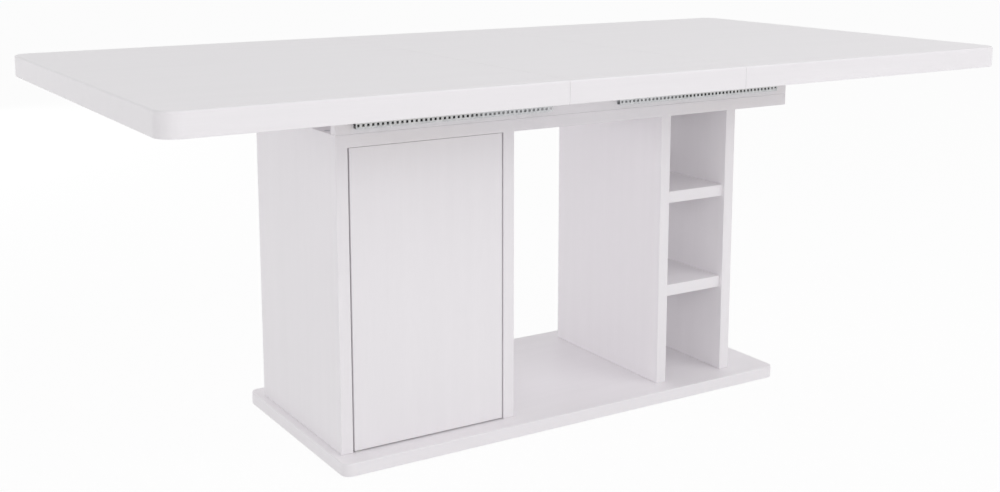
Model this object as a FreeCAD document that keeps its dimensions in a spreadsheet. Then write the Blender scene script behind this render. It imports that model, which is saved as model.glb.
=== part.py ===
"""Extending pedestal table with a storage cabinet, in millimetres.

The origin is on the floor under the middle of the tabletop.  +X runs along the
table, +Y to its back and +Z up.  The table is drawn extended, with its leaf in.
"""
import FreeCAD, Part
import math
import os
import Sketcher
from FreeCAD import Placement, Rotation, Vector

DRIVING_SIZES = [
    # the tabletop
    ("table_height", 750), ("table_length", 1860), ("table_width", 960),
    ("top_thickness", 43), ("leaf_length", 404), ("top_corner_radius", 35),
    ("top_edge_radius", 4), ("top_arris", 0.5), ("seam_gap", 0.6),
    # the pedestal's boards
    ("board", 25), ("base_margin", 15), ("base_overhang", 46),
    ("base_corner_radius", 18), ("base_edge_radius", 2), ("board_edge_radius", 1.5),
    ("board_arris", 1.2), ("pedestal_length", 1100), ("pedestal_depth", 382),
    ("pedestal_shift", 32.5),
    ("frame_overhang", 146.5), ("cabinet_width", 384), ("bay_width", 153),
    ("open_shelf_setback", 9), ("upper_shelf_height", 420), ("lower_shelf_height", 214),
    ("back_thickness", 16), ("inner_shelf", 18), ("inner_shelf_lower", 180),
    ("inner_shelf_upper", 376), ("inner_shelf_clearance", 0.5), ("inner_shelf_inset", 31),
    # the door and its pivots
    ("door_thickness", 19), ("door_gap", 3), ("door_top_gap", 0.8),
    ("pivot_from_edge", 9.5), ("pivot_from_front", 7.5), ("pin_radius", 3),
    ("pin_in_door", 25), ("pin_in_bush", 9), ("pin_clearance", 0.05), ("bush_radius", 5),
    ("bush_flange_radius", 6.5), ("bush_flange", 1), ("bush_length", 11),
    # the push latch
    ("latch_drop", 41), ("latch_width", 20), ("latch_depth", 62), ("latch_tall", 18),
    ("latch_setback", 7), ("plunger_radius", 4), ("plunger_length", 44),
    ("plunger_head_radius", 5.5), ("plunger_head", 2), ("plunger_travel", 3),
    ("plunger_clearance", 0.1), ("strike_radius", 6.5), ("strike_thickness", 1.5),
    # the extension frame
    ("frame_height", 68), ("rail_thickness", 19), ("pad_thickness", 2), ("pad_length", 40),
    ("pad_width", 15), ("cross_rail_drop", 6), ("cross_rail_inset", 60),
    # the ball-bearing slides
    ("slide_lift", 9.5), ("slide_height", 45), ("slide_depth", 11.2), ("slide_wall", 1.2),
    ("slide_lip", 9.8), ("slide_inset", 37), ("slide_gap", 166),
    ("window_width", 4.8), ("window_height", 5), ("window_pitch", 10),
    ("window_lift", 3.8), ("window_margin", 3),
    ("runner_length", 260), ("runner_inset", 38.5), ("runner_proud", 1.5),
    ("lip_clearance", 1.5), ("shoulder_clearance", 0.4),
    ("ball_radius", 2), ("ball_clearance", 0.25), ("cage_length", 140),
    ("cage_sheet", 0.8), ("cage_gap", 0.3), ("cage_rim", 0.5), ("cage_end_margin", 0.5),
    ("pocket_pitch", 110), ("bearer_thickness", 18), ("bearer_height", 43),
    ("bearer_overlap", 5),
    # the fasteners and the glides
    ("glide_radius", 12.5), ("glide_taper", 1), ("glide_height", 3), ("glide_inset", 45),
    ("panel_screw_radius", 3.5), ("panel_screw_head", 6), ("panel_screw_length", 50),
    ("panel_screw_inset", 60), ("dowel_radius", 4), ("dowel_length", 30),
    ("dowel_inset", 70), ("shelf_pin_radius", 2.5), ("shelf_pin_in_side", 8),
    ("shelf_pin_out", 8), ("shelf_pin_inset", 37), ("bearer_screw_radius", 2),
    ("bearer_screw_length", 60), ("bearer_screw_head", 4),
    ("bearer_screw_head_depth", 2.4), ("bearer_screw_inset", 50),
]

doc = FreeCAD.newDocument("extending_table")
sheet = doc.addObject("Spreadsheet::Sheet", "sizes")


class Size:
    """A number with the expression that gives it, so that sums of sizes stay bound to the sheet."""

    def __init__(self, text, value):
        self.text = text
        self.value = value

    def join(self, sign, other, value):
        return Size(f"({self.text} {sign} {as_size(other).text})", value)

    def __add__(self, other):
        return self.join("+", other, self.value + as_size(other).value)

    def __sub__(self, other):
        return self.join("-", other, self.value - as_size(other).value)

    def __mul__(self, other):
        return self.join("*", other, self.value * as_size(other).value)

    def __truediv__(self, other):
        return self.join("/", other, self.value / as_size(other).value)

    def __neg__(self):
        return Size(f"(0 - {self.text})", -self.value)

    def whole(self):
        """The size rounded down, for a count of things that fit."""
        return Size(f"floor({self.text})", math.floor(self.value))


def as_size(value):
    return value if isinstance(value, Size) else Size(str(value), float(value))


class Sizes:
    """The sheet's values by name."""


def fill_sheet():
    sizes = Sizes()
    for row, (alias, value) in enumerate(DRIVING_SIZES, start=1):
        sheet.set(f"A{row}", alias)
        sheet.set(f"B{row}", str(value))
        sheet.setAlias(f"B{row}", alias)
        setattr(sizes, alias, Size(f"sizes.{alias}", float(value)))
    doc.recompute()
    return sizes


S = fill_sheet()
ZERO = as_size(0)
nodes = []


# ---- the ways in which the pieces are drawn ----

def bind(item, path, size):
    """Ties one property to the sheet."""
    item.setExpression(path, as_size(size).text)


def place(item, x, y, z, turn=Rotation()):
    """Puts a piece at a point, turned as given."""
    spot = [as_size(value) for value in (x, y, z)]
    item.Placement = Placement(Vector(*[value.value for value in spot]), turn)
    for axis, value in zip("xyz", spot):
        bind(item, f"Placement.Base.{axis}", value)


def new_body(label):
    body = doc.addObject("PartDesign::Body", label)
    body.Label = label
    nodes.append(body)
    return body


def plane_of(body, role):
    return next(feature for feature in body.Origin.OriginFeatures if feature.Role == role)


def new_sketch(body, role, name, offset=ZERO):
    """A sketch on one of the body's own planes, moved along that plane's normal."""
    sketch = body.newObject("Sketcher::SketchObject", f"{body.Label}_{name}")
    sketch.AttachmentSupport = (plane_of(body, role), [""])
    sketch.MapMode = "FlatFace"
    offset = as_size(offset)
    sketch.AttachmentOffset = Placement(Vector(0, 0, offset.value), Rotation())
    bind(sketch, "AttachmentOffset.Base.z", offset)
    return sketch


def pin_point(sketch, geometry, position, x, y):
    """Ties one point of a sketch to its two coordinates."""
    for kind, size in (("DistanceX", as_size(x)), ("DistanceY", as_size(y))):
        if size.text == ZERO.text:
            axis = -2 if kind == "DistanceX" else -1
            sketch.addConstraint(Sketcher.Constraint("PointOnObject", geometry, position, axis))
            continue
        index = sketch.addConstraint(
            Sketcher.Constraint(kind, -1, 1, geometry, position, size.value))
        sketch.setExpression(f"Constraints[{index}]", size.text)


def draw_outline(sketch, corners):
    """A closed outline of straight lines through corners given by their sizes."""
    points = [Vector(as_size(x).value, as_size(y).value, 0) for x, y in corners]
    first = sketch.GeometryCount
    count = len(points)
    for index in range(count):
        sketch.addGeometry(Part.LineSegment(points[index], points[(index + 1) % count]))
    for index in range(count):
        following = first + (index + 1) % count
        sketch.addConstraint(Sketcher.Constraint("Coincident", first + index, 2, following, 1))
    for index, (x, y) in enumerate(corners):
        pin_point(sketch, first + index, 1, x, y)


def draw_circles(sketch, centres, radius):
    for x, y in centres:
        centre = Vector(as_size(x).value, as_size(y).value, 0)
        index = sketch.addGeometry(Part.Circle(centre, Vector(0, 0, 1), radius.value))
        pin_point(sketch, index, 3, x, y)
        ring = sketch.addConstraint(Sketcher.Constraint("Radius", index, radius.value))
        sketch.setExpression(f"Constraints[{ring}]", radius.text)


def pad(body, sketch, length, backwards=False):
    feature = body.newObject("PartDesign::Pad", f"{sketch.Name}_pad")
    feature.Profile = sketch
    feature.Reversed = backwards
    bind(feature, "Length", length)
    return feature


def pocket(body, sketch, depth, backwards=False):
    feature = body.newObject("PartDesign::Pocket", f"{sketch.Name}_pocket")
    feature.Profile = sketch
    feature.Reversed = backwards
    bind(feature, "Length", depth)
    return feature


def rectangle(x0, y0, x1, y1):
    return [(x0, y0), (x1, y0), (x1, y1), (x0, y1)]


def dress_edges(body, kind, measure, size, wanted, name):
    """Fillets or chamfers the edges that the test picks out of the body as it stands."""
    doc.recompute()
    base = body.Tip
    names = [f"Edge{index}" for index, edge in enumerate(base.Shape.Edges, start=1)
             if wanted(edge)]
    feature = body.newObject(f"PartDesign::{kind}", f"{body.Label}_{name}")
    feature.Base = (base, names)
    bind(feature, measure, size)
    body.Tip = feature
    doc.recompute()


def round_edges(body, radius, wanted):
    dress_edges(body, "Fillet", "Radius", radius, wanted, "round")


def bevel_edges(body, size, wanted, name):
    dress_edges(body, "Chamfer", "Size", size, wanted, name)


def seen_from(x, y, spots):
    """Points of the table as a board with its corner at x, y has them."""
    return [(spot_x - x, spot_y - y) for spot_x, spot_y in spots]


def countersink(body, centres, radius, head_radius, height, name):
    """Bevels the rims of the holes at these centres, in the face at one height."""
    spots = [Vector(as_size(x).value, as_size(y).value, as_size(height).value)
             for x, y in centres]

    def is_rim(edge):
        if not isinstance(edge.Curve, Part.Circle):
            return False
        if abs(edge.Curve.Radius - radius.value) > 1e-6:
            return False
        return any(edge.Curve.Center.distanceToPoint(spot) < 1e-6 for spot in spots)

    bevel_edges(body, head_radius - radius, is_rim, name)


def runs_along(edge, axis):
    """True for a straight edge that runs along one axis of its body."""
    if not isinstance(edge.Curve, Part.Line):
        return False
    return abs(edge.Curve.Direction.dot(axis)) > 0.999


def lies_at(edge, height):
    """True for an edge of a level face at one height of its body."""
    return all(abs(vertex.Z - height) < 1e-6 for vertex in edge.Vertexes)


def board(label, length, width, height, x, y, z):
    """A plain board with its lowest corner at a point."""
    body = new_body(label)
    sketch = new_sketch(body, "XY_Plane", "outline")
    draw_outline(sketch, rectangle(ZERO, ZERO, length, width))
    pad(body, sketch, height)
    place(body, x, y, z)
    return body


def drill(body, side, centres, radius, depth, name, offset=ZERO):
    """Blind round holes from one side of a board; offset is how far that side is from the origin."""
    role, backwards, sign = {
        "bottom": ("XY_Plane", True, 1), "top": ("XY_Plane", False, 1),
        "left": ("YZ_Plane", True, 1), "right": ("YZ_Plane", False, 1),
        "front": ("XZ_Plane", False, -1), "back": ("XZ_Plane", True, -1)}[side]
    offset = as_size(offset)
    sketch = new_sketch(body, role, name, -offset if sign < 0 else offset)
    draw_circles(sketch, centres, radius)
    return pocket(body, sketch, depth, backwards)


def turned(label, outline):
    """A piece turned about its own Z axis from half its section (radius, height)."""
    body = new_body(label)
    sketch = new_sketch(body, "XZ_Plane", "section")
    draw_outline(sketch, outline)
    feature = body.newObject("PartDesign::Revolution", f"{body.Label}_turn")
    feature.Profile = sketch
    feature.ReferenceAxis = (sketch, ["V_Axis"])
    feature.Angle = 360
    return body


# ---- places that several pieces share ----

base_top = S.glide_height + S.board
top_underside = S.table_height - S.top_thickness
frame_floor = top_underside - S.frame_height
panel_top = frame_floor - S.board
panel_height = panel_top - base_top
half_depth = S.pedestal_depth / 2
pedestal_left = S.pedestal_shift - S.pedestal_length / 2
cabinet_inside_left = pedestal_left + S.board
cabinet_right = pedestal_left + S.cabinet_width
cabinet_inside_right = cabinet_right - S.board
cabinet_inside = S.cabinet_width - S.board * 2
niche_width = (S.pedestal_length - S.frame_overhang - S.cabinet_width
               - S.bay_width - S.board * 2)
upright_inner_left = cabinet_right + niche_width
base_length = (S.base_margin - pedestal_left) * 2
base_width = S.pedestal_depth + S.base_overhang * 2
bay_left = upright_inner_left + S.board
bay_right = bay_left + S.bay_width
rail_height = S.frame_height - S.pad_thickness
half_leaf = S.leaf_length / 2
half_length = S.table_length / 2 - half_leaf
door_left = cabinet_inside_left + S.door_gap
door_width = cabinet_inside - S.door_gap * 2
door_bottom = base_top + S.door_gap
door_height = panel_height - S.door_gap - S.door_top_gap
pivot_x = door_left + S.pivot_from_edge
pivot_y = S.pivot_from_front - half_depth
panel_screw_y = half_depth - S.panel_screw_inset
panel_lefts = [pedestal_left, cabinet_inside_right, upright_inner_left, bay_right]
panel_middles = [left + S.board / 2 for left in panel_lefts]
panel_screw_spots = [(middle, panel_screw_y * sign)
                     for middle in panel_middles for sign in (-1, 1)]
FRONT_AND_BACK = ((-1, "front"), (1, "back"))

UP = Vector(0, 0, 1)
ALONG = Vector(1, 0, 0)
ACROSS = Vector(0, 1, 0)


# ---- the group pieces ----

def add_group(label, solids):
    """Loose pieces in one node."""
    feature = doc.addObject("Part::Feature", label)
    feature.Label = label
    feature.Shape = Part.makeCompound(solids)
    feature.Placement = Placement()
    nodes.append(feature)


def group(label, master, spots):
    """Identical loose pieces in one node: one master shape, repeated at each spot."""
    solids = []
    for origin, turn in spots:
        piece = master.copy()
        piece.Placement = Placement(Vector(*[as_size(value).value for value in origin]), turn)
        solids.append(piece)
    add_group(label, solids)


def turned_solid(outline):
    """A solid of revolution about Z from half its section (radius, height)."""
    points = [Vector(as_size(r).value, 0, as_size(z).value) for r, z in outline]
    wire = Part.makePolygon(points + points[:1])
    return Part.Face(wire).revolve(Vector(0, 0, 0), UP, 360)


def countersunk_screw(radius, head_radius, length):
    """A screw whose flat head lies on Z = 0 and whose shank runs up."""
    return turned_solid([
        (ZERO, ZERO), (head_radius, ZERO), (radius, head_radius - radius), (radius, length),
        (ZERO, length)])


def pan_head_screw(radius, head_radius, head_depth, length):
    """A screw whose head bears on Z = 0 from below and whose shank runs up."""
    return turned_solid([
        (ZERO, -head_depth), (head_radius, -head_depth), (head_radius, ZERO), (radius, ZERO),
        (radius, length), (ZERO, length)])


UPRIGHT = Rotation()
UPSIDE_DOWN = Rotation(ALONG, 180)
HALF_TURN = Rotation(UP, 180)
POINTS_BACK = Rotation(ALONG, -90)
POINTS_RIGHT = Rotation(ACROSS, 90)
POINTS_LEFT = Rotation(ACROSS, -90)


# ---- the base ----

def make_base_plate():
    left = -base_length / 2
    front = -base_width / 2
    body = board("base_plate", base_length, base_width, S.board, left, front, S.glide_height)
    round_edges(body, S.base_corner_radius, lambda edge: runs_along(edge, UP))
    round_edges(body, S.base_edge_radius, lambda edge: lies_at(edge, S.board.value))
    screws = seen_from(left, front, panel_screw_spots)
    drill(body, "bottom", screws, S.panel_screw_radius, S.board, "screw_holes")
    countersink(body, screws, S.panel_screw_radius, S.panel_screw_head, ZERO, "screw_heads")
    bush = seen_from(left, front, [(pivot_x, pivot_y)])
    drill(body, "top", bush, S.bush_radius, S.bush_length, "bush_seat", S.board)


def glide_spots():
    x = base_length / 2 - S.glide_inset
    y = base_width / 2 - S.glide_inset
    return [(x * side, y * end) for side in (-1, 0, 1) for end in (-1, 1)]


def make_glides():
    """Glued-on glides, which the whole table stands on."""
    outline = [(ZERO, ZERO), (S.glide_radius - S.glide_taper, ZERO),
               (S.glide_radius, S.glide_height), (ZERO, S.glide_height)]
    spots = [((x, y, ZERO), UPRIGHT) for x, y in glide_spots()]
    group("base_glides", turned_solid(outline), spots)


# ---- the cabinet, the uprights and the shelves ----

def shelf_pin_heights():
    return [S.inner_shelf_lower, S.inner_shelf_upper]


def shelf_pin_depths():
    front = S.inner_shelf_inset + S.shelf_pin_inset
    back = S.pedestal_depth - S.back_thickness - S.shelf_pin_inset
    return [front, back]


def make_panel(label, left):
    """One of the four full-height boards, with the holes for its screws at both ends."""
    body = board(label, S.board, S.pedestal_depth, panel_height, left, -half_depth, base_top)
    round_edges(body, S.board_edge_radius, lambda edge: runs_along(edge, UP))
    bevel_edges(body, S.board_arris, lambda edge: lies_at(edge, 0), "foot")
    spots = [(S.board / 2, half_depth + panel_screw_y * sign) for sign in (-1, 1)]
    depth = S.panel_screw_length - S.board
    drill(body, "bottom", spots, S.panel_screw_radius, depth, "lower_screw_holes")
    drill(body, "top", spots, S.panel_screw_radius, depth, "upper_screw_holes", panel_height)
    return body


def make_cabinet_sides():
    holes = [(y, z - S.shelf_pin_radius) for y in shelf_pin_depths()
             for z in shelf_pin_heights()]
    left = make_panel("cabinet_left_side", pedestal_left)
    drill(left, "right", holes, S.shelf_pin_radius, S.shelf_pin_in_side, "pin_holes", S.board)
    right = make_panel("cabinet_right_side", cabinet_inside_right)
    drill(right, "left", holes, S.shelf_pin_radius, S.shelf_pin_in_side, "pin_holes")


def make_shelf_pins():
    outline = [(ZERO, -S.shelf_pin_in_side), (S.shelf_pin_radius, -S.shelf_pin_in_side),
               (S.shelf_pin_radius, S.shelf_pin_out), (ZERO, S.shelf_pin_out)]
    spots = []
    for y in shelf_pin_depths():
        for z in shelf_pin_heights():
            height = base_top + z - S.shelf_pin_radius
            spots.append(((cabinet_inside_left, y - half_depth, height), POINTS_RIGHT))
            spots.append(((cabinet_inside_right, y - half_depth, height), POINTS_LEFT))
    group("shelf_pins", turned_solid(outline), spots)


def make_cabinet_inside():
    board("cabinet_back", cabinet_inside, S.back_thickness, panel_height,
          cabinet_inside_left, half_depth - S.back_thickness, base_top)
    width = cabinet_inside - S.inner_shelf_clearance * 2
    depth = S.pedestal_depth - S.back_thickness - S.inner_shelf_inset
    for name, height in zip(("lower", "upper"), shelf_pin_heights()):
        shelf = board(f"cabinet_shelf_{name}", width, depth, S.inner_shelf,
                      cabinet_inside_left + S.inner_shelf_clearance,
                      S.inner_shelf_inset - half_depth, base_top + height)
        round_edges(shelf, S.board_edge_radius, lambda edge: runs_along(edge, ALONG))


def dowel_spots():
    return [S.dowel_inset, S.pedestal_depth - S.dowel_inset]


def open_shelf_heights():
    return [S.lower_shelf_height, S.upper_shelf_height]


def make_uprights():
    inner = make_panel("upright_inner", upright_inner_left)
    outer = make_panel("upright_outer", bay_right)
    reach = S.dowel_length / 2
    holes = [(y, height - S.board / 2) for y in dowel_spots() for height in open_shelf_heights()]
    drill(inner, "right", holes, S.dowel_radius, reach, "dowel_holes", S.board)
    drill(outer, "left", holes, S.dowel_radius, reach, "dowel_holes")


def make_open_shelves():
    """The two shelves of the open bay, doweled between the uprights."""
    depth = S.pedestal_depth - S.open_shelf_setback
    for name, top in zip(("lower", "upper"), open_shelf_heights()):
        shelf = board(f"open_shelf_{name}", S.bay_width, depth, S.board,
                      bay_left, S.open_shelf_setback - half_depth, base_top + top - S.board)
        round_edges(shelf, S.board_edge_radius, lambda edge: runs_along(edge, ALONG))
        holes = [(y - S.open_shelf_setback, S.board / 2) for y in dowel_spots()]
        drill(shelf, "left", holes, S.dowel_radius, S.dowel_length / 2, "left_dowel_holes")
        drill(shelf, "right", holes, S.dowel_radius, S.dowel_length / 2,
              "right_dowel_holes", S.bay_width)


def make_shelf_dowels():
    end = S.dowel_length / 2
    outline = [(ZERO, -end), (S.dowel_radius, -end), (S.dowel_radius, end), (ZERO, end)]
    spots = [((x, y - half_depth, base_top + top - S.board / 2), POINTS_RIGHT)
             for x in (bay_left, bay_right) for y in dowel_spots()
             for top in open_shelf_heights()]
    group("shelf_dowels", turned_solid(outline), spots)


def make_top_board():
    body = board("top_board", S.pedestal_length, S.pedestal_depth, S.board,
                 pedestal_left, -half_depth, panel_top)
    round_edges(body, S.board_edge_radius, lambda edge: runs_along(edge, UP))
    bevel_edges(body, S.board_arris, lambda edge: lies_at(edge, S.board.value), "arris")
    screws = seen_from(pedestal_left, -half_depth, panel_screw_spots)
    drill(body, "top", screws, S.panel_screw_radius, S.board, "screw_holes", S.board)
    countersink(body, screws, S.panel_screw_radius, S.panel_screw_head, S.board,
                "screw_heads")
    rail_screws = seen_from(pedestal_left, -half_depth, rail_screw_spots())
    drill(body, "bottom", rail_screws, S.panel_screw_radius, S.board, "rail_screw_holes")
    countersink(body, rail_screws, S.panel_screw_radius, S.panel_screw_head, ZERO,
                "rail_screw_heads")
    bush = seen_from(pedestal_left, -half_depth, [(pivot_x, pivot_y)])
    drill(body, "bottom", bush, S.bush_flange_radius, S.bush_flange, "bush_flange_seat")
    drill(body, "bottom", bush, S.bush_radius, S.bush_flange + S.bush_length, "bush_seat")


def panel_screw():
    return countersunk_screw(S.panel_screw_radius, S.panel_screw_head, S.panel_screw_length)


def make_panel_screws():
    group("base_screws", panel_screw(),
          [((x, y, S.glide_height), UPRIGHT) for x, y in panel_screw_spots])
    group("top_board_screws", panel_screw(),
          [((x, y, frame_floor), UPSIDE_DOWN) for x, y in panel_screw_spots])


# ---- the door, its pivots and the push latch ----

def make_door():
    body = board("cabinet_door", door_width, S.door_thickness, door_height,
                 door_left, -half_depth, door_bottom)
    round_edges(body, S.board_edge_radius, lambda edge: runs_along(edge, UP))
    spot = [(S.pivot_from_edge, S.pivot_from_front)]
    drill(body, "bottom", spot, S.pin_radius, S.pin_in_door, "lower_pin_hole")
    drill(body, "top", spot, S.pin_radius, S.pin_in_door, "upper_pin_hole", door_height)


def make_door_pivots():
    """A pin in each end of the door turns in a flanged bush; the upper bush is let in flush."""
    door_top = door_bottom + door_height
    pin_low = base_top - S.pin_in_bush
    pin_high = panel_top + S.pin_in_bush

    def pin(length):
        tip = S.pin_radius / 3
        return turned_solid([
            (ZERO, ZERO), (S.pin_radius - tip, ZERO), (S.pin_radius, tip),
            (S.pin_radius, length), (ZERO, length)])

    lower = pin(door_bottom + S.pin_in_door - pin_low)
    lower.Placement = Placement(Vector(pivot_x.value, pivot_y.value, pin_low.value), UPRIGHT)
    upper = pin(pin_high - door_top + S.pin_in_door)
    upper.Placement = Placement(Vector(pivot_x.value, pivot_y.value, pin_high.value), UPSIDE_DOWN)
    add_group("door_pivot_pins", [lower, upper])
    bore = S.pin_radius + S.pin_clearance
    outline = [(bore, -S.bush_length), (S.bush_radius, -S.bush_length), (S.bush_radius, ZERO),
               (S.bush_flange_radius, ZERO), (S.bush_flange_radius, S.bush_flange),
               (bore, S.bush_flange)]
    group("pivot_bushes", turned_solid(outline), [
        ((pivot_x, pivot_y, base_top), UPRIGHT),
        ((pivot_x, pivot_y, panel_top + S.bush_flange), UPSIDE_DOWN)])


def make_push_latch():
    """A housing on the cabinet's right side, with a sprung plunger that bears on the door."""
    door_back = S.door_thickness - half_depth
    plate_back = door_back + S.strike_thickness
    axis_x = cabinet_inside_right - S.latch_width / 2
    axis_z = panel_top - S.latch_drop
    front = door_back + S.latch_setback
    housing = board("push_latch_housing", S.latch_width, S.latch_depth, S.latch_tall,
                    cabinet_inside_right - S.latch_width, front, axis_z - S.latch_tall / 2)
    round_edges(housing, S.board_edge_radius, lambda edge: runs_along(edge, ACROSS))
    bore = S.plunger_radius + S.plunger_clearance
    depth = plate_back + S.plunger_length - front + S.plunger_travel * 2
    drill(housing, "front", [(S.latch_width / 2, S.latch_tall / 2)], bore, depth, "bore")
    plunger = turned("push_latch_plunger", [
        (ZERO, ZERO), (S.plunger_head_radius, ZERO), (S.plunger_head_radius, S.plunger_head),
        (S.plunger_radius, S.plunger_head), (S.plunger_radius, S.plunger_length),
        (ZERO, S.plunger_length)])
    place(plunger, axis_x, plate_back, axis_z, POINTS_BACK)
    strike = turned("strike_plate", [
        (ZERO, ZERO), (S.strike_radius, ZERO), (S.strike_radius, S.strike_thickness),
        (ZERO, S.strike_thickness)])
    place(strike, axis_x, door_back, axis_z, POINTS_BACK)


# ---- the extension frame ----

def rail_screw_spots():
    middle = half_depth - S.rail_thickness / 2
    reach = S.pedestal_length / 2 - S.cross_rail_inset * 2
    return [(S.pedestal_shift + reach * side, middle * end)
            for side in (-1, 0, 1) for end in (-1, 1)]


def make_rails():
    for end, name in FRONT_AND_BACK:
        y = -half_depth if end < 0 else half_depth - S.rail_thickness
        rail = board(f"{name}_rail", S.pedestal_length, S.rail_thickness, rail_height,
                     pedestal_left, y, frame_floor)
        round_edges(rail, S.board_edge_radius, lambda edge: runs_along(edge, UP))
        holes = [(x - pedestal_left, S.rail_thickness / 2)
                 for x, side in rail_screw_spots() if side.value * end > 0]
        drill(rail, "bottom", holes, S.panel_screw_radius,
              S.panel_screw_length - S.board, "screw_holes")
    group("rail_screws", panel_screw(),
          [((x, y, panel_top), UPRIGHT) for x, y in rail_screw_spots()])


def make_cross_rails():
    length = S.pedestal_depth - S.rail_thickness * 2
    reach = S.pedestal_length / 2 - S.cross_rail_inset
    for side, name in ((-1, "left"), (0, "middle"), (1, "right")):
        board(f"{name}_cross_rail", S.rail_thickness, length, rail_height - S.cross_rail_drop,
              S.pedestal_shift + reach * side - S.rail_thickness / 2,
              S.rail_thickness - half_depth, frame_floor)


def make_slip_pads():
    """Felt strips on the rails, which the tops slide and rest on."""
    reach = S.pedestal_length / 2 - S.pad_length
    solids = []
    for end in (-1, 1):
        y = (half_depth - S.rail_thickness / 2) * end - S.pad_width / 2
        for middle in (S.pedestal_shift - reach, -half_leaf - S.pad_length,
                       S.pad_length - half_leaf, half_leaf - S.pad_length,
                       half_leaf + S.pad_length, S.pedestal_shift + reach):
            corner = Vector((middle - S.pad_length / 2).value, y.value,
                            (frame_floor + rail_height).value)
            solids.append(Part.makeBox(S.pad_length.value, S.pad_width.value,
                                       S.pad_thickness.value, corner))
    add_group("slip_pads", solids)


# ---- the ball-bearing slides ----

slide_bottom = frame_floor + S.slide_lift
slide_middle = slide_bottom + S.slide_height / 2
half_slide = S.slide_height / 2
race = half_slide - S.slide_wall
ball_height = race - S.ball_clearance - S.ball_radius
runner_half = ball_height - S.ball_radius - S.ball_clearance
slide_inside = S.slide_depth - S.slide_wall
slide_length = (S.pedestal_length - S.slide_inset * 2 - S.slide_gap) / 2
lip_edge = race - S.slide_lip
ball_setback = slide_inside - S.ball_radius - S.ball_clearance * 2 - S.cage_rim
hook_front = ball_setback - S.ball_radius - S.ball_clearance * 2
hook_back = hook_front - S.slide_wall
runner_face = S.slide_depth + S.runner_proud
cage_front = hook_back - S.cage_gap
SIDES = (("left", -1), ("right", 1))


def channel_middle(side):
    return S.pedestal_shift + (S.pedestal_length / 2 - S.slide_inset - slide_length / 2) * side


def runner_middle(side):
    return S.pedestal_shift + (S.pedestal_length / 2 - S.runner_inset - S.runner_length / 2) * side


def cage_middle(side):
    """A cage moves half as far as its runner, and ends with it when the table is closed."""
    behind = half_leaf / 2 - (S.runner_length - S.cage_length) / 2 + S.cage_end_margin
    return runner_middle(side) - behind * side


def slide_section(body, outline, length, name):
    """Pads a section drawn as (stand-off from the rail, height) evenly about the middle."""
    sketch = new_sketch(body, "YZ_Plane", name, -length / 2)
    draw_outline(sketch, [(-stand_off, height) for stand_off, height in outline])
    pad(body, sketch, length)


def place_on_rail(body, x, end):
    place(body, x, half_depth * end, slide_middle, HALF_TURN if end > 0 else UPRIGHT)


def punch_windows(body):
    """A row of windows along the lower lip, from one window and a pattern."""
    room = slide_length - S.window_margin * 2
    count = (room / S.window_pitch).whole() + 1
    run = (count - 1) * S.window_pitch
    left = -(run + S.window_width) / 2
    bottom = S.window_lift - half_slide
    sketch = new_sketch(body, "XZ_Plane", "window", S.slide_depth)
    draw_outline(sketch, rectangle(left, bottom, left + S.window_width,
                                   bottom + S.window_height))
    window = pocket(body, sketch, S.slide_wall)
    row = body.newObject("PartDesign::LinearPattern", f"{body.Label}_windows")
    row.Originals = [window]
    row.Direction = (sketch, ["H_Axis"])
    bind(row, "Length", run)
    bind(row, "Occurrences", count)
    body.Tip = row


def make_channel(label, side, end):
    """The fixed member: a C section whose tall lips keep the runner and the balls in."""
    body = new_body(label)
    slide_section(body, [
        (ZERO, -half_slide), (S.slide_depth, -half_slide), (S.slide_depth, -lip_edge),
        (slide_inside, -lip_edge), (slide_inside, -race), (S.slide_wall, -race),
        (S.slide_wall, race), (slide_inside, race), (slide_inside, lip_edge),
        (S.slide_depth, lip_edge), (S.slide_depth, half_slide), (ZERO, half_slide)],
        slide_length, "section")
    punch_windows(body)
    place_on_rail(body, channel_middle(side), end)


def make_runner(label, side, end):
    """The moving member: a hat section that comes out between the lips to its bearer."""
    body = new_body(label)
    waist = lip_edge - S.lip_clearance
    shoulder = slide_inside - S.shoulder_clearance
    rise = runner_half + S.ball_radius / 2
    half_outline = [
        (runner_face, waist), (shoulder, waist), (shoulder, runner_half),
        (hook_front, runner_half), (hook_front, rise), (hook_back, rise),
        (hook_back, runner_half - S.slide_wall),
        (shoulder - S.slide_wall, runner_half - S.slide_wall),
        (shoulder - S.slide_wall, waist - S.slide_wall),
        (runner_face - S.slide_wall, waist - S.slide_wall)]
    mirrored = [(stand_off, -height) for stand_off, height in reversed(half_outline)]
    slide_section(body, half_outline + mirrored, S.runner_length, "section")
    place_on_rail(body, runner_middle(side), end)


def pocket_spots():
    """Where the modelled balls lie along a cage, evenly about its middle."""
    return [S.pocket_pitch / 2 * step for step in (-1, 1)]


def make_cage(label, side, end):
    """The retainer: a U of thin sheet whose flanges hold the balls in round pockets."""
    body = new_body(label)
    half_sheet = S.cage_sheet / 2
    tip = ball_setback + S.ball_radius + S.ball_clearance + S.cage_rim
    back = cage_front - S.cage_sheet
    slide_section(body, [
        (back, -ball_height - half_sheet), (tip, -ball_height - half_sheet),
        (tip, -ball_height + half_sheet), (cage_front, -ball_height + half_sheet),
        (cage_front, ball_height - half_sheet), (tip, ball_height - half_sheet),
        (tip, ball_height + half_sheet), (back, ball_height + half_sheet)],
        S.cage_length, "section")
    centres = [(spot, -ball_setback) for spot in pocket_spots()]
    drill(body, "top", centres, S.ball_radius + S.ball_clearance, S.cage_sheet,
          "upper_pockets", ball_height + half_sheet)
    drill(body, "bottom", centres, S.ball_radius + S.ball_clearance, S.cage_sheet,
          "lower_pockets", -ball_height - half_sheet)
    place_on_rail(body, cage_middle(side), end)


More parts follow.
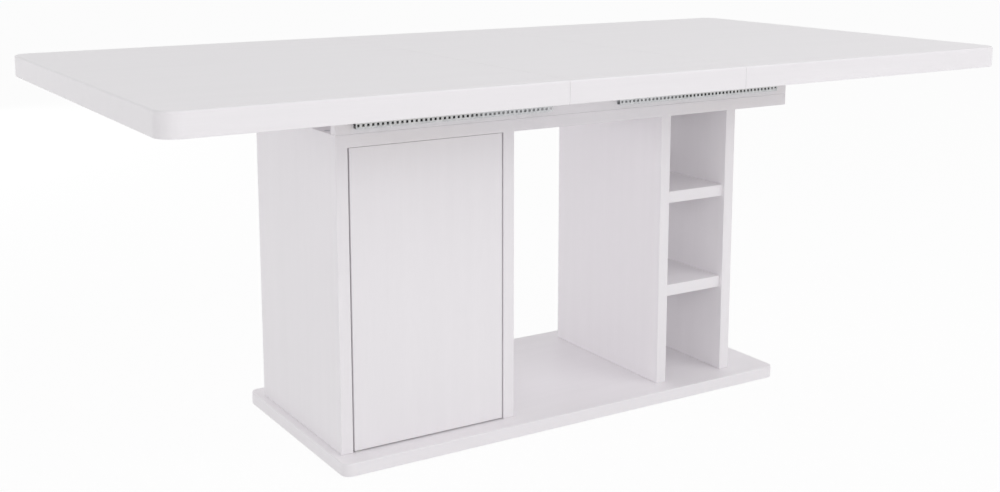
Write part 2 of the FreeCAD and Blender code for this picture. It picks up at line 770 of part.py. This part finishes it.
def make_balls(label, side):
    spots = [((cage_middle(side) + spot, (half_depth + ball_setback) * end,
               slide_middle + ball_height * row), UPRIGHT)
             for spot in pocket_spots() for end in (-1, 1) for row in (-1, 1)]
    group(label, Part.makeSphere(S.ball_radius.value), spots)


def make_slides():
    for name, side in SIDES:
        for end, place_name in FRONT_AND_BACK:
            make_channel(f"{name}_slide_channel_{place_name}", side, end)
            make_runner(f"{name}_slide_runner_{place_name}", side, end)
            make_cage(f"{name}_ball_cage_{place_name}", side, end)
        make_balls(f"{name}_slide_balls", side)


# ---- the tops and their bearers ----

bearer_length = S.runner_length + S.bearer_overlap * 2
bearer_screw_y = half_depth + runner_face + S.bearer_thickness / 2


def bearer_screw_spots(side, ends=(-1, 1)):
    reach = bearer_length / 2 - S.bearer_screw_inset
    return [(runner_middle(side) + reach * step, bearer_screw_y * end)
            for step in (-1, 1) for end in ends]


def make_bearer(label, side, end):
    """A batten under the top that stands against its runner."""
    left = runner_middle(side) - bearer_length / 2
    face = half_depth + runner_face
    y = face if end > 0 else -face - S.bearer_thickness
    body = board(label, bearer_length, S.bearer_thickness, S.bearer_height,
                 left, y, top_underside - S.bearer_height)
    round_edges(body, S.board_edge_radius, lambda edge: runs_along(edge, UP))
    screws = seen_from(left, y, bearer_screw_spots(side, [end]))
    drill(body, "bottom", screws, S.bearer_screw_radius, S.bearer_height, "screw_holes")


def finish_top(body, seams):
    """Rounds the upper edges of a top and bevels the lower ones, but not along its seams."""
    def on_seam(edge):
        return any(all(abs(vertex.X - seam) < 1e-6 for vertex in edge.Vertexes)
                   for seam in seams)

    high = S.top_thickness.value
    round_edges(body, S.top_edge_radius,
                lambda edge: lies_at(edge, high) and not on_seam(edge))
    bevel_edges(body, S.top_arris,
                lambda edge: lies_at(edge, 0) and not on_seam(edge), "arris")


def make_top_half(name, side):
    left = -S.table_length / 2 if side < 0 else half_leaf + S.seam_gap
    length = half_length - S.seam_gap
    body = board(f"{name}_top", length, S.table_width, S.top_thickness,
                 left, -S.table_width / 2, top_underside)
    outer = 0.0 if side < 0 else length.value
    round_edges(body, S.top_corner_radius,
                lambda edge: runs_along(edge, UP) and abs(edge.Vertexes[0].X - outer) < 1e-6)
    finish_top(body, [length.value - outer])
    holes = seen_from(left, -S.table_width / 2, bearer_screw_spots(side))
    drill(body, "bottom", holes, S.bearer_screw_radius,
          S.bearer_screw_length - S.bearer_height, "screw_holes")


def make_half(name, side):
    make_top_half(name, side)
    for end, place_name in FRONT_AND_BACK:
        make_bearer(f"{name}_bearer_{place_name}", side, end)
    screw = pan_head_screw(S.bearer_screw_radius, S.bearer_screw_head,
                           S.bearer_screw_head_depth, S.bearer_screw_length)
    group(f"{name}_bearer_screws", screw,
          [((x, y, top_underside - S.bearer_height), UPRIGHT)
           for x, y in bearer_screw_spots(side)])


def make_leaf():
    body = board("leaf", S.leaf_length, S.table_width, S.top_thickness,
                 -half_leaf, -S.table_width / 2, top_underside)
    finish_top(body, [0.0, S.leaf_length.value])


# ---- the whole table ----

make_base_plate()
make_glides()
make_cabinet_sides()
make_shelf_pins()
make_cabinet_inside()
make_uprights()
make_open_shelves()
make_shelf_dowels()
make_top_board()
make_panel_screws()
make_door()
make_door_pivots()
make_push_latch()
make_rails()
make_cross_rails()
make_slip_pads()
make_slides()
for half_name, half_side in SIDES:
    make_half(half_name, half_side)
make_leaf()

doc.recompute()
for item in doc.Objects:
    if {"Invalid", "Error"} & set(item.State):
        raise RuntimeError(f"{item.Label} did not build: {item.State}")
os.makedirs("parts", exist_ok=True)
for node in nodes:
    if node.Shape.isNull() or not node.Shape.isValid() or not node.Shape.Solids:
        raise RuntimeError(f"{node.Label} has no valid solid")
    node.Shape.exportStep(f"parts/{node.Label}.step")
print(f"{len(nodes)} nodes written")
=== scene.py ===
"""The looks of an extending pedestal table in white melamine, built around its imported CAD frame."""

import math
import bmesh
import bpy
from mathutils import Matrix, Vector

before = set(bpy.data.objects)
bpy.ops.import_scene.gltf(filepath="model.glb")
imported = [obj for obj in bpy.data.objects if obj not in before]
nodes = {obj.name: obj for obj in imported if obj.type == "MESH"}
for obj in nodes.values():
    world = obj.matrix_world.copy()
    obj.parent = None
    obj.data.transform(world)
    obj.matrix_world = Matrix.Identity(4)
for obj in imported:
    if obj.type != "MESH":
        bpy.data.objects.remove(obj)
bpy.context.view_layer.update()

MM = 0.001
ALONG_X, ALONG_Y, ALONG_Z = 0, 1, 2

# ---- colours: sRGB, turned to linear in one place ----

COLOURS = {
    "foil white": "#F6F3F6",
    "foil shade": "#F3F0F3",
    "chip light": "#B9A88A",
    "chip dark": "#8A7858",
    "spruce light": "#E6D2AC",
    "spruce dark": "#CDAB7A",
    "beech light": "#D6A878",
    "beech dark": "#A97848",
    "zinc": "#E0E1E2",
    "zinc dark": "#C9CBCD",
    "bearing steel": "#D4D6D9",
    "bearing haze": "#B9BCC0",
    # phosphate tones: the dark grey of phosphated steel, made darker still as painted shade for the
    # shadow inside the slide's channel
    "phosphate": "#4B4C4E",
    "phosphate dark": "#333436",
    "felt": "#5B5A5E",
    "felt fibre": "#77767A",
    "nylon": "#E4E4DF",
    "latch grey": "#8C8D90",
    "floor": "#FCFCFC",
}


def linear(name):
    """A named colour as linear RGBA, by the standard sRGB curve."""
    digits = COLOURS[name].lstrip("#")
    channels = [int(digits[i:i + 2], 16) / 255 for i in (0, 2, 4)]
    rgb = [c / 12.92 if c <= 0.04045 else ((c + 0.055) / 1.055) ** 2.4 for c in channels]
    return (*rgb, 1.0)


# ---- materials ----

def link_inputs(tree, node, links):
    """Links each output to the node's input of that name."""
    for name, output in links.items():
        tree.links.new(output, node.inputs[name])


def add_node(tree, kind, links=None, stops=(), **settings):
    """Adds a shader node, sets its properties or sockets by name, gives a ramp its
    (position, colour name) stops and links its inputs."""
    node = tree.nodes.new(kind)
    for name, value in settings.items():
        if hasattr(node, name):
            setattr(node, name, value)
        else:
            node.inputs[name.replace("_", " ")].default_value = value
    for number, (position, colour) in enumerate(stops):
        node.color_ramp.elements[number].position = position
        node.color_ramp.elements[number].color = linear(colour)
    link_inputs(tree, node, links or {})
    return node


def new_material(name, roughness, metallic=0.0, ior=1.5):
    """A Principled material with its tree and its shader. A metal keeps the default IOR."""
    material = bpy.data.materials.new(name)
    material.use_nodes = True
    shader = material.node_tree.nodes["Principled BSDF"]
    shader.inputs["Roughness"].default_value = roughness
    shader.inputs["Metallic"].default_value = metallic
    if not metallic:
        shader.inputs["IOR"].default_value = ior
    return material, material.node_tree, shader


def in_steps_of(tree, sizes_mm):
    """The place on the object, counted in steps of the given sizes along each axis."""
    place = add_node(tree, "ShaderNodeTexCoord").outputs["Object"]
    steps = tuple(1 / (size * MM) for size in sizes_mm)
    return add_node(tree, "ShaderNodeMapping", {"Vector": place}, Scale=steps).outputs["Vector"]


def mottle(tree, sizes_mm, detail):
    """Soft mottling, with patches as long along each axis as the sizes say."""
    steps = in_steps_of(tree, sizes_mm)
    return add_node(tree, "ShaderNodeTexNoise", {"Vector": steps},
                    Scale=1.0, Detail=detail).outputs["Fac"]


def along(axis, length_mm, width_mm):
    """Sizes that are long along one axis."""
    sizes = [width_mm] * 3
    sizes[axis] = length_mm
    return sizes


def melamine(name, grain_axis, roughness):
    """Melamine-faced chipboard: a printed paper foil, pressed under an embossed plate. The white
    stays even, and only the sheen breaks up in streaks along the grain. A real pore is 0.3 mm
    wide: these are drawn 2.2 mm wide, because finer ones don't show at this distance."""
    material, tree, shader = new_material(name, roughness, ior=1.52)
    pores = mottle(tree, along(grain_axis, length_mm=60, width_mm=2.2), detail=4.0)
    clouds = mottle(tree, along(grain_axis, length_mm=520, width_mm=26), detail=2.0)
    print_tone = add_node(tree, "ShaderNodeMath", {0: pores, 1: clouds}, operation="MULTIPLY")
    white = add_node(tree, "ShaderNodeValToRGB", {"Fac": print_tone.outputs["Value"]},
                     stops=[(0.02, "foil shade"), (0.38, "foil white")])
    sheen = add_node(tree, "ShaderNodeMapRange", {"Value": pores},
                     To_Min=roughness - 0.05, To_Max=roughness + 0.07)
    relief = add_node(tree, "ShaderNodeBump", {"Height": pores},
                      Strength=0.5, Distance=0.02 * MM)
    link_inputs(tree, shader, {"Base Color": white.outputs["Color"],
                               "Roughness": sheen.outputs["Result"],
                               "Normal": relief.outputs["Normal"]})
    return material


def raw_chipboard(name):
    """Sanded chipboard without a face: pressed wood chips of every tone, dry and dull."""
    chip_mm = (3.5, 3.5, 1.6)
    material, tree, shader = new_material(name, roughness=0.85)
    chips = add_node(tree, "ShaderNodeTexVoronoi", {"Vector": in_steps_of(tree, chip_mm)},
                     Scale=1.0)
    tone = add_node(tree, "ShaderNodeSeparateColor", {"Color": chips.outputs["Color"]})
    wood = add_node(tree, "ShaderNodeValToRGB", {"Fac": tone.outputs["Red"]},
                    stops=[(0.1, "chip dark"), (0.9, "chip light")])
    relief = add_node(tree, "ShaderNodeBump", {"Height": chips.outputs["Distance"]},
                      Strength=0.6, Distance=0.2 * MM)
    link_inputs(tree, shader, {"Base Color": wood.outputs["Color"],
                               "Normal": relief.outputs["Normal"]})
    return material


def bare_wood(name, light, dark, ring_mm):
    """Wood cut along X and left bare: long darker late-wood lines and an open, dry surface. Real
    fibres are under 0.1 mm thick: these are drawn 0.7 mm thick, because finer ones don't show."""
    line_mm = 30 * ring_mm  # how far a late-wood line runs before it fades
    material, tree, shader = new_material(name, roughness=0.68)
    rings = mottle(tree, along(ALONG_X, length_mm=line_mm, width_mm=ring_mm), detail=3.0)
    fibres = mottle(tree, along(ALONG_X, length_mm=18, width_mm=0.7), detail=5.0)
    waver = add_node(tree, "ShaderNodeMapRange", {"Value": fibres}, To_Min=-0.12, To_Max=0.12)
    mixed = add_node(tree, "ShaderNodeMath", {0: rings, 1: waver.outputs["Result"]},
                     operation="ADD")
    wood = add_node(tree, "ShaderNodeValToRGB", {"Fac": mixed.outputs["Value"]},
                    stops=[(0.36, light), (0.62, dark)])
    relief = add_node(tree, "ShaderNodeBump", {"Height": fibres},
                      Strength=0.6, Distance=0.15 * MM)
    link_inputs(tree, shader, {"Base Color": wood.outputs["Color"],
                               "Normal": relief.outputs["Normal"]})
    return material


def coated_steel(name, light, dark, roughness):
    """Cold-rolled steel with a thin coat: faint rolling lines under a cloudy, broken sheen. Real
    rolling lines are under 0.1 mm wide: these are drawn 0.6 mm wide, so that they show."""
    cloud_mm = 9
    material, tree, shader = new_material(name, roughness, metallic=1.0)
    rolling = mottle(tree, along(ALONG_X, length_mm=90, width_mm=0.6), detail=4.0)
    clouds = mottle(tree, [cloud_mm] * 3, detail=3.0)
    coat = add_node(tree, "ShaderNodeValToRGB", {"Fac": clouds},
                    stops=[(0.3, dark), (0.7, light)])
    sheen = add_node(tree, "ShaderNodeMapRange", {"Value": rolling},
                     To_Min=roughness - 0.08, To_Max=roughness + 0.12)
    relief = add_node(tree, "ShaderNodeBump", {"Height": rolling},
                      Strength=0.4, Distance=0.02 * MM)
    link_inputs(tree, shader, {"Base Color": coat.outputs["Color"],
                               "Roughness": sheen.outputs["Result"],
                               "Normal": relief.outputs["Normal"]})
    return material


def ground_steel(name):
    """Hardened bearing balls, ground and polished: bright, with only the finest haze. Real
    grinding marks are under 0.01 mm wide: the haze is drawn 1.5 mm wide, so that it shows."""
    haze_mm = 1.5
    material, tree, shader = new_material(name, roughness=0.12, metallic=1.0)
    haze = mottle(tree, [haze_mm] * 3, detail=2.0)
    polish = add_node(tree, "ShaderNodeValToRGB", {"Fac": haze},
                      stops=[(0.2, "bearing haze"), (0.6, "bearing steel")])
    sheen = add_node(tree, "ShaderNodeMapRange", {"Value": haze}, To_Min=0.08, To_Max=0.2)
    link_inputs(tree, shader, {"Base Color": polish.outputs["Color"],
                               "Roughness": sheen.outputs["Result"]})
    return material


def wool_felt(name):
    """Pressed wool felt: matted fibres, no gloss and a soft edge to its light. Real fibres are
    0.03 mm thick: these are drawn as tufts of 0.8 mm, because finer ones don't show."""
    tuft_mm = 0.8
    material, tree, shader = new_material(name, roughness=0.95)
    shader.inputs["Sheen Weight"].default_value = 0.4
    fibres = mottle(tree, [tuft_mm] * 3, detail=5.0)
    wool = add_node(tree, "ShaderNodeValToRGB", {"Fac": fibres},
                    stops=[(0.3, "felt"), (0.7, "felt fibre")])
    relief = add_node(tree, "ShaderNodeBump", {"Height": fibres}, Distance=0.4 * MM)
    link_inputs(tree, shader, {"Base Color": wool.outputs["Color"],
                               "Normal": relief.outputs["Normal"]})
    return material


def moulded_plastic(name, colour, roughness, grain_shade=None):
    """Injection-moulded plastic: an even colour under the spark-eroded grain of its mould, which
    also shades a pale one. The real grain is about 0.1 mm wide: it is drawn 0.5 mm wide, because
    a finer one doesn't show."""
    grain_mm = 0.5
    material, tree, shader = new_material(name, roughness, ior=1.53)
    shader.inputs["Base Color"].default_value = linear(colour)
    grain = mottle(tree, [grain_mm] * 3, detail=2.0)
    relief = add_node(tree, "ShaderNodeBump", {"Height": grain},
                      Strength=0.5, Distance=0.03 * MM)
    link_inputs(tree, shader, {"Normal": relief.outputs["Normal"]})
    if grain_shade:
        depth = add_node(tree, "ShaderNodeMapRange", {"Value": grain}, To_Max=0.12)
        shaded = add_node(tree, "ShaderNodeMixRGB", {"Fac": depth.outputs["Result"]},
                          Color1=linear(colour), Color2=linear(grain_shade))
        link_inputs(tree, shader, {"Base Color": shaded.outputs["Color"]})
    return material


FINISHES = [
    (melamine("pressed_melamine_top", ALONG_X, roughness=0.36),
     ["left_top", "right_top", "leaf"]),
    (melamine("pressed_melamine_lengthwise", ALONG_X, roughness=0.42),
     ["base_plate", "top_board", "front_rail", "back_rail", "open_shelf_lower",
      "open_shelf_upper", "cabinet_shelf_lower", "cabinet_shelf_upper"]),
    (melamine("pressed_melamine_crosswise", ALONG_Y, roughness=0.42),
     ["left_cross_rail", "right_cross_rail"]),
    (melamine("pressed_melamine_upright", ALONG_Z, roughness=0.42),
     ["cabinet_left_side", "cabinet_right_side", "cabinet_back", "cabinet_door",
      "upright_inner", "upright_outer"]),
    (raw_chipboard("sanded_chipboard"),
     ["middle_cross_rail"]),
    (bare_wood("planed_spruce", "spruce light", "spruce dark", ring_mm=5.0),
     [name for name in nodes if "bearer" in name and "screws" not in name]),
    (bare_wood("turned_beech", "beech light", "beech dark", ring_mm=2.5),
     ["shelf_dowels"]),
    (coated_steel("zinc_plated_steel", "zinc", "zinc dark", roughness=0.46),
     [name for name in nodes if "screws" in name or "channel" in name]
     + ["shelf_pins", "door_pivot_pins", "strike_plate"]),
    # runner and ball cage: phosphated steel, with its colour darkened as painted shade for the shadow
    # inside the slide
    (coated_steel("phosphated_steel_and_painted_shade", "phosphate", "phosphate dark", roughness=0.5),
     [name for name in nodes if "runner" in name or "ball_cage" in name]),
    (ground_steel("ground_bearing_steel"),
     [name for name in nodes if "slide_balls" in name]),
    (wool_felt("pressed_wool_felt"),
     ["slip_pads"]),
    (moulded_plastic("moulded_nylon", "nylon", roughness=0.5, grain_shade="latch grey"),
     ["base_glides", "pivot_bushes", "push_latch_housing"]),
    (moulded_plastic("moulded_acetal", "latch grey", roughness=0.4),
     ["push_latch_plunger"]),
]

for material, names in FINISHES:
    for name in names:
        slots = nodes[name].data.materials
        slots.clear()
        slots.append(material)

# ---- the stage: a pale floor, soft light and the camera ----

FLOOR_REACH = 60.0  # metres from the middle to each side
FLOOR_WHITE = 0.94  # how far the seen floor is plain white; the rest carries the shadow
ROOM_LIGHT = 0.55  # strength of the even light from all round, where 1 is white


def seen_white(tree):
    """One for rays that see the room straight, in gloss or through glass; none for its light."""
    path = add_node(tree, "ShaderNodeLightPath").outputs
    seen = path["Is Camera Ray"]
    for ray in ("Is Glossy Ray", "Is Transmission Ray"):
        seen = add_node(tree, "ShaderNodeMath", {0: seen, 1: path[ray]},
                        operation="MAXIMUM").outputs["Value"]
    return seen


def floor_paper():
    """Matt white paper, which shows white to the camera but keeps the table's soft shadow."""
    material, tree, shader = new_material("matt_white_paper", roughness=0.9)
    shader.inputs["Base Color"].default_value = linear("floor")
    shader.inputs["Specular IOR Level"].default_value = 0.0
    white = add_node(tree, "ShaderNodeEmission", Strength=1.0)
    seen = add_node(tree, "ShaderNodeMapRange", {"Value": seen_white(tree)}, To_Max=FLOOR_WHITE)
    blend = add_node(tree, "ShaderNodeMixShader", {0: seen.outputs["Result"],
                     1: shader.outputs["BSDF"], 2: white.outputs["Emission"]})
    link_inputs(tree, tree.nodes["Material Output"], {"Surface": blend.outputs["Shader"]})
    return material


def make_floor():
    mesh = bpy.data.meshes.new("floor")
    bm = bmesh.new()
    bmesh.ops.create_grid(bm, x_segments=1, y_segments=1, size=FLOOR_REACH)
    bm.to_mesh(mesh)
    bm.free()
    mesh.materials.append(floor_paper())
    floor = bpy.data.objects.new("floor", mesh)
    bpy.context.scene.collection.objects.link(floor)


def make_room():
    """An even white room: its light is plain, and the camera sees it white."""
    world = bpy.data.worlds.new("studio")
    bpy.context.scene.world = world
    world.use_nodes = True
    tree = world.node_tree
    strength = add_node(tree, "ShaderNodeMapRange", {"Value": seen_white(tree)},
                        To_Min=ROOM_LIGHT, To_Max=1.0)
    background = tree.nodes["Background"]
    background.inputs["Color"].default_value = (1, 1, 1, 1)
    link_inputs(tree, background, {"Strength": strength.outputs["Result"]})


def softbox(name, place, aim, size, watts, mirrored=True):
    """A flat soft lamp, in metres. One that isn't mirrored only fills: no gloss shows it, so it
    leaves no glare on pale edges."""
    light = bpy.data.lights.new(name, "AREA")
    light.shape = "RECTANGLE"
    light.size, light.size_y = size
    light.energy = watts
    lamp = bpy.data.objects.new(name, light)
    bpy.context.scene.collection.objects.link(lamp)
    lamp.visible_glossy = mirrored
    lamp.location = place
    lamp.rotation_mode = "QUATERNION"
    lamp.rotation_quaternion = (Vector(aim) - Vector(place)).to_track_quat("-Z", "Y")


def make_camera():
    """A camera a little over the tabletop, turned to the right and tilted down. A small shift
    lets it tilt less, so the uprights lean less."""
    eye = (-1.5304, -2.3920, 1.0365)
    turn_right, tilt_down = math.radians(31.784), math.radians(9.828)
    focal_px, width_px, sensor_mm = 1349.5, 1000, 36
    shift_down = 0.1  # of the picture's width
    data = bpy.data.cameras.new("camera")
    data.sensor_width = sensor_mm
    data.lens = focal_px * sensor_mm / width_px
    data.shift_y = -shift_down
    camera = bpy.data.objects.new("camera", data)
    bpy.context.scene.collection.objects.link(camera)
    camera.location = eye
    camera.rotation_euler = (math.pi / 2 - tilt_down, 0, -turn_right)
    bpy.context.scene.camera = camera


make_floor()
make_room()
softbox("key", place=(-2.6, -4.2, 2.0), aim=(0, 0, 0.35), size=(2.4, 2.0), watts=33)
softbox("side_key", place=(2.5, -3.5, 3.2), aim=(0, 0, 0.4), size=(3.0, 3.0), watts=55)
softbox("back_fill", place=(-1.6, 4.5, 0.9), aim=(0, 0, 0.3), size=(3.0, 1.4), watts=76,
        mirrored=False)
make_camera()
bpy.context.scene.view_settings.view_transform = "Standard"
